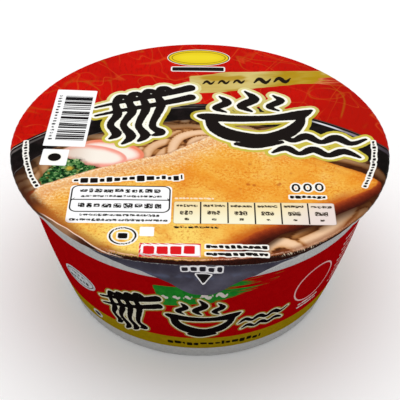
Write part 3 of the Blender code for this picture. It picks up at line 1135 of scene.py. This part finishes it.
def lay_badge(g, coat):
    """A plain golden medallion over a plain dark bar."""
    field = g.field("badge")
    gold = g.mix(g.slope(field, -6, 0, 0, 0.6), (240, 218, 40), (222, 186, 14))
    coat.lay_shape(field, (0.6, 0.08, (250, 246, 225)), (0.25, 0.08, (24, 18, 10)), (-0.15, 0.08, gold))
    coat.lay(g.band(field, -1.35, 0.14), (60, 48, 12))
    coat.lay_shape("badge_bar", (0.45, 0.08, (246, 244, 240)), (-0.1, 0.08, (22, 18, 18)))


def lay_ink(g, coat):
    """The brush drawings in black, with a white edge inside a golden one, and the small waves."""
    gold = g.ramp(g.slope(g.y, -8, 40) + g.wander(0.8, 0.05), {
        0.15: (204, 190, 74), 0.5: (184, 166, 44), 0.85: (226, 216, 150)})
    coat.lay_shape(g.field("motif") + g.wander(0.55, 0.7, 3), (2.35, 0.12, gold),
                   (1.05, 0.12, (255, 253, 240)), (0, 0.1, (25, 19, 17)))
    coat.lay(g.inside(g.field("waves") + g.wander(0.4, 0.8, 2), 0, 0.1), (30, 20, 8))


def bar_code(g):
    """Upright bars of random widths."""
    code = g.mapped(turn=BAR_CODE_TURN, middle=(*BAR_CODE, 0))
    side, up, _ = g.parts(code)
    step = up * 0.72 + g.noise(1, 1, at=g.mapped((0.01, 0.4, 1), at=code)) * 2.6 + 40
    picked = g.node("ShaderNodeTexWhiteNoise", {"W": g.math("FLOOR", step)}, "Value", noise_dimensions="1D")
    width = g.slope(picked, 0, 1, 0.36, 0.92)
    bars = g.inside(g.math("FRACT", step) - width, 0, 0.05)
    within = g.inside(abs(up), BAR_ROW_HALF_LENGTH, 0.03) * g.inside(abs(side - 1.4), BAR_HALF_LENGTH, 0.05)
    return bars * within


def lay_panels(g, coat):
    """White panels, the bar code and the pale table, with their black print."""
    table, lines = g.field("table"), g.field("lines")
    coat.lay(g.inside("panels", 0, 0.05), (255, 255, 255))
    coat.lay(bar_code(g), (26, 22, 24))
    paper = Coat(g, g.mix(g.slope(g.y, -49, -38), (252, 247, 216), (248, 228, 176)))
    paper.lay(g.slope(g.x + (g.y + 44) * -0.8, 22, 44), (236, 220, 214))
    coat.lay(g.inside(table, 0, 0.05), paper.colour)
    coat.lay(g.band(table, -0.05, 0.1, 0.08) * 0.5, (110, 80, 30))
    coat.lay(g.inside(abs(lines), 0.26, 0.06) * g.inside("lines_near", 0.9, 0.1), (40, 36, 34))
    strokes = g.slope(g.noise(1.5, 2), 0.37, 0.46)
    ink = g.mix(g.inside(table), (26, 22, 22), (66, 56, 44))
    coat.lay(g.inside("ink", 0.02, 0.1) * strokes, ink)


def lay_fold(g, coat):
    """The fold at the front: painted shade and highlights along it, cracked print with painted glints and
    dark reflections, and a bare edge.
    """
    turn, out, crack, bare, crease = (g.field(name) for name in ("turn", "out", "crack", "bare", "crease"))
    wander = g.wander(0.9, 0.35, 2)
    rough = g.noise(1.4, 4, 0.75)

    # Painted shade along the fold at the left side, darkest towards the edge
    sides = g.slope(turn, -46, -54) * g.slope(turn, -76, -57) * g.slope(out + wander, 64.6, 68.4)
    coat.lay(sides * 0.9, (74, 36, 20))

    front = g.slope(turn, -30, -24) * g.slope(turn, 54, 44)
    # Painted shade just inside the crack at the front
    coat.lay(front * g.slope(crack, -3, -0.9, 0, 0.6), (134, 62, 28))
    # Dark print along the crack, with painted dark reflections of the crinkled sheet
    dark_print_and_reflection = g.ramp(rough, {0.3: (14, 7, 6), 0.7: (60, 24, 17)})
    coat.lay(front * g.slope(crack + (rough - 0.5) * 1.6, -0.25, 0.15), dark_print_and_reflection)
    glint = front * g.band(crack + wander * 0.6, -0.55, 0.2, 0.25) * g.slope(rough, 0.4, 0.54)
    coat.lay(glint * g.slope(turn, 12, 30, 0.85, 0.35), (255, 200, 170))
    for end in (-1, 1):
        teeth = g.noise(1, 4, 0.75, at=g.mapped((1.3, 0.35, 1), turn=end * 42))
        cracked = g.band(turn * end, 28, 6, 3) * g.band(crack + wander * 1.6, 0.1, 0.4, 0.35)
        coat.lay(cracked * g.slope(teeth, 0.52, 0.6) * 0.8, (255, 232, 200))

    left = g.slope(turn, -56, -51)
    tan = g.ramp(g.slope(turn, -54, -28), {0: (66, 36, 24), 0.35: (150, 112, 82), 0.6: (158, 116, 84),
                                           0.85: (84, 46, 30), 1: (40, 20, 14)})
    # Painted shade along the fold, inside the crease at the left
    coat.lay(left * g.slope(turn, -22, -28) * g.slope(crease, -5, -0.5, 0, 0.8), (156, 82, 32))
    coat.lay(left * g.slope(turn, -26, -30) * g.slope(crease, -0.2, 0.2), tan)
    shine = g.slope(turn, -52, -47) * g.slope(turn, -20, -23)
    coat.lay(shine * g.band(crease + wander * 0.4, 0, 0.15, 0.13), (255, 222, 204))
    coat.lay(g.slope(bare + wander * 0.2, -0.1, 0.1), (182, 182, 180))


def lay_notices(g, coat):
    """Haloed, red and pale marks, printed last."""
    coat.lay_shape("haloed", (0.55, 0.12, (255, 252, 244)), (0, 0.08, (20, 14, 12)))
    coat.lay(g.inside("red", 0, 0.08), (222, 26, 34))
    coat.lay(g.inside("pale", 0, 0.1) * 0.8, (255, 240, 214))


def lay_tab(g, coat):
    """The slate pull tab with its arrow, with painted shade near the fold and a painted sheen."""
    turn, out = g.field("turn"), g.field("out")
    rough = g.noise(1.4, 4, 0.75)
    slate = Coat(g, g.ramp(g.noise(0.1, 3), {0.35: (60, 57, 68), 0.65: (84, 82, 96)}))
    # Painted shade: darker towards the fold
    slate.lay(g.slope(out, 71, 75.5, 0.6, 0), (44, 41, 54))
    # Painted sheen: a lighter bluish band across the tab
    painted_tab_sheen = g.band(out, 75.5, 0.8, 1.6) * g.slope(g.noise(0.18, 2), 0.44, 0.62)
    slate.lay(painted_tab_sheen * 0.6, (92, 102, 128))
    slate.lay(g.slope(rough, 0.66, 0.72) * g.slope(out, 76, 71) * 0.5, (150, 140, 150))
    within = g.slope(turn, -31.5, -29) * g.slope(turn, 29, 27) * g.inside("tab_side", 0, 0.12)
    coat.lay(within * g.slope(g.field("bare") + (rough - 0.5) * 1.4, -0.2, 0.2), slate.colour)
    coat.lay_shape("tab_marks", (0.42, 0.1, (236, 234, 236)), (-0.02, 0.1, (40, 36, 44)))
    coat.lay_shape("arrow", (0.25, 0.07, (240, 238, 238)), (-0.2, 0.07, (24, 20, 22)))


def lid_print_material():
    g = Graph("lid_print", 0.012, "place")
    coat = Coat(g, washi_red(g))
    layers = lay_picture, lay_gold_brush, lay_badge, lay_ink, lay_panels, lay_fold, lay_notices, lay_tab
    for layer in layers:
        layer(g, coat)
    sheet = g.object_place()
    return g.shade(
        Base_Color=coat.colour,
        Roughness=g.slope(g.noise(0.12, 3, at=sheet), 0.3, 0.7, 0.34, 0.46),
        Normal=g.bump(g.noise(2.2, 3, 0.6, at=sheet), 0.12, 0.00008),
    )


def lid_paper_material():
    """White paper with fine fibres, on the lid's inner side and its cut edge."""
    g = Graph("lid_paper", 0.2)
    fibres = g.noise(1.8, 4, 0.7, at=g.mapped((1, 0.3, 1), turn=25))
    return g.shade(
        Base_Color=g.ramp(fibres, {0.3: (196, 192, 184), 0.7: (226, 223, 216)}),
        Roughness=g.slope(fibres, 0.3, 0.7, 0.7, 0.85),
        Normal=g.bump(fibres, 0.3, 0.0001),
    )


# ---- print of the wall


def lay_green_brush(g, coat, mottle):
    """A broad stroke of green paint, which runs dry towards the right."""
    hairs = g.noise(1, 3, 0.6, at=g.mapped((0.05, 0.05, 1.3)))
    dry = g.slope("brush_along", 6, 26, -0.1, 0.24)
    mask = g.inside(g.field("brush") + (hairs - 0.5) * 2.2, 0, 0.12) * g.slope(hairs - dry, 0.38, 0.43)
    coat.lay(mask, g.ramp(mottle, {0.4: (24, 108, 34), 0.6: (34, 122, 38)}))


def wall_print_material():
    """Red and gold bands with their print on foam, which stays bare at the rim and the foot, all painted
    darker to stand in for the wall's shade.
    """
    g = Graph("bowl_print", 0)
    level = g.z + g.wander(0.25, 0.6, 2)
    mottle = g.noise(0.5, 4, 0.6)
    beads = g.cells(0.9)
    # Painted shade: the wall's paints are darker than the lid's, standing in for the shade on the wall
    gold = g.ramp(mottle, {0.35: (138, 116, 8), 0.65: (148, 124, 14)})
    red = g.ramp(mottle, {0.35: (150, 2, 6), 0.65: (158, 4, 8)})
    coat = Coat(g, g.mix(g.slope(level, GOLD_TOP - 0.1, GOLD_TOP + 0.1), gold, red))
    lay_green_brush(g, coat, mottle)
    medal = g.field("medal")
    coat.lay(g.inside(medal), g.ramp(mottle, {0.4: (166, 170, 172), 0.6: (190, 194, 196)}))
    coat.lay(g.band(medal, -1.1, 0.2), (70, 40, 44))
    coat.lay(g.inside(abs(g.field("ring")), 0.32), (208, 170, 168))
    coat.lay(g.inside("pale", 0, 0.1), (196, 186, 180))
    coat.lay_shape(g.field("motif") + g.wander(0.4, 0.9, 3), (1.1, 0.1, (136, 118, 40)),
                   (0.52, 0.1, (206, 202, 180)), (0, 0.08, (14, 10, 10)))
    coat.lay(g.inside("dark", 0, 0.1), (24, 20, 10))
    printed = g.inside(level, BAND_TOP, 0.1) * g.slope(level, GOLD_FOOT - 0.1, GOLD_FOOT + 0.1)
    # Painted shade: the bare white foam is painted grey
    foam = g.ramp(beads, {0: (186, 186, 185), 0.9: (172, 172, 171)})
    return g.shade(
        Base_Color=g.mix(printed, foam, coat.colour),
        Roughness=g.slope(printed, 0, 1, 0.62, 0.42),
        Normal=g.bump(beads, 0.12, 0.0002),
    )


# ---- stage


def make_floor():
    mesh = bpy.data.meshes.new("floor")
    corners = [(x * FLOOR_REACH, y * FLOOR_REACH, 0) for x, y in ((-1, -1), (1, -1), (1, 1), (-1, 1))]
    mesh.from_pydata(corners, [], [(0, 1, 2, 3)])
    g = Graph("floor", 0.1)
    grain = g.noise(0.01, 2)
    white = g.ramp(grain, {0.3: (0.94, 0.94, 0.94, 1), 0.7: (0.95, 0.95, 0.95, 1)})
    mesh.materials.append(g.shade(Base_Color=white, Roughness=0.8))
    add_object("floor", mesh)


def make_lights():
    world = bpy.data.worlds.new("studio")
    bpy.context.scene.world = world
    world.use_nodes = True
    background = world.node_tree.nodes["Background"]
    background.inputs["Color"].default_value = (1, 1, 1, 1)
    background.inputs["Strength"].default_value = SKY_STRENGTH
    data = bpy.data.lights.new("key", "AREA")
    data.shape = "DISK"
    data.size = KEY_SIZE
    data.energy = KEY_POWER
    aimed = (Vector(KEY_AIM) - Vector(KEY_PLACE)).to_track_quat("-Z", "Y")
    add_object("key", data).matrix_world = Matrix.Translation(KEY_PLACE) @ aimed.to_matrix().to_4x4()


def make_camera():
    data = bpy.data.cameras.new("camera")
    data.sensor_width = 36
    data.lens = CAMERA_LENS
    data.clip_start = 0.01
    camera = add_object("camera", data)
    tilt = Matrix.Rotation(math.radians(90 - CAMERA_DIP), 4, "X")
    roll = Matrix.Rotation(math.radians(CAMERA_ROLL), 4, "Z")
    camera.matrix_world = Matrix.Translation(CAMERA_PLACE) @ tilt @ roll
    bpy.context.scene.camera = camera


make_camera()
make_floor()
make_lights()
bpy.context.scene.view_settings.view_transform = "Standard"
make_lid(lid_print_material(), lid_paper_material())
make_bowl(wall_print_material())
